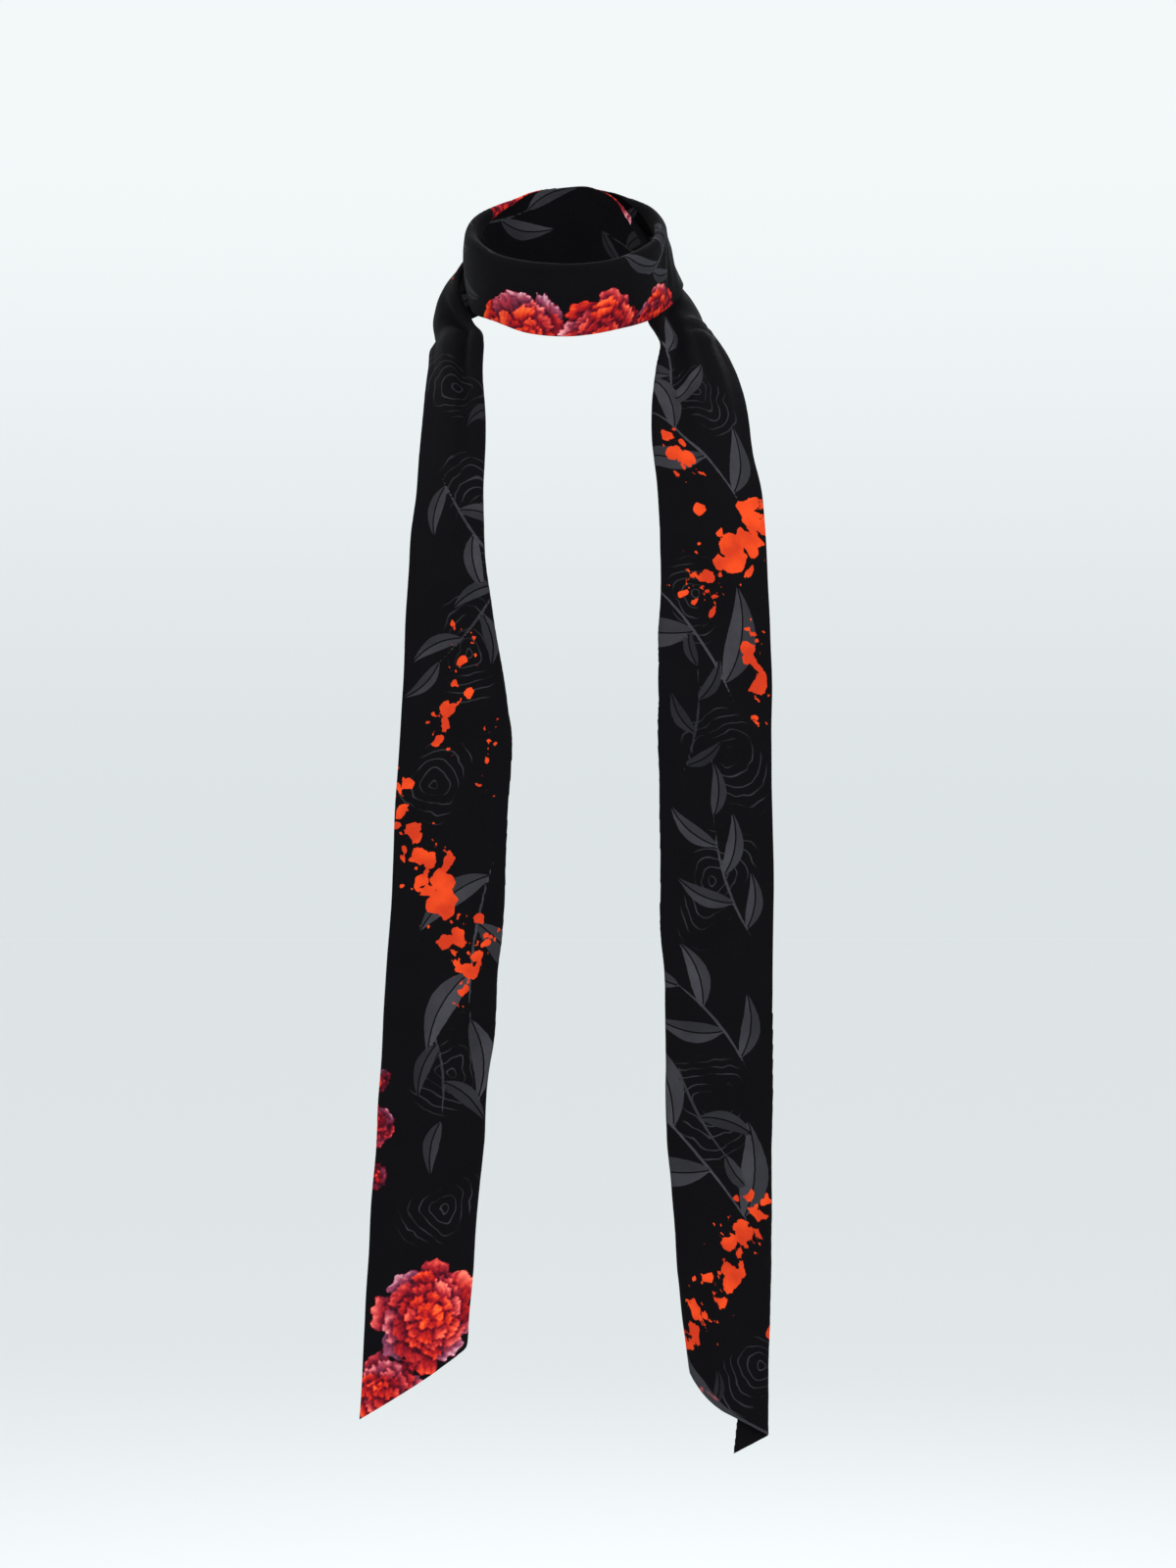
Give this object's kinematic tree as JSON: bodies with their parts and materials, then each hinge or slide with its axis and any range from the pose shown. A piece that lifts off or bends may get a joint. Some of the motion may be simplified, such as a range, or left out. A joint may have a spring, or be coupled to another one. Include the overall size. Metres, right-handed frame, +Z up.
{
  "type": "stole",
  "caption": "Long narrow printed stole wound round the neck, with both slanted ends hanging down the front.",
  "frame": {"origin": "middle of the neck opening, at half the height of the wound band, where the wearer's neck holds the stole", "axes": "+Z up, +Y to the wearer's back, +X to the viewer's right; the band is wound square to an axis that leans 29 degrees forward"},
  "size_m": [0.2828, 0.196, 0.8954],
  "materials": {
    "printed_cloth": "matt crepe, black ground with a grey, orange and red floral print"
  },
  "bodies": {
    "root": {"tail_right": "printed_cloth", "cross_under": "printed_cloth", "neck_loop": "printed_cloth", "cross_over": "printed_cloth", "tail_left": "printed_cloth"}
  },
  "joints": []
}
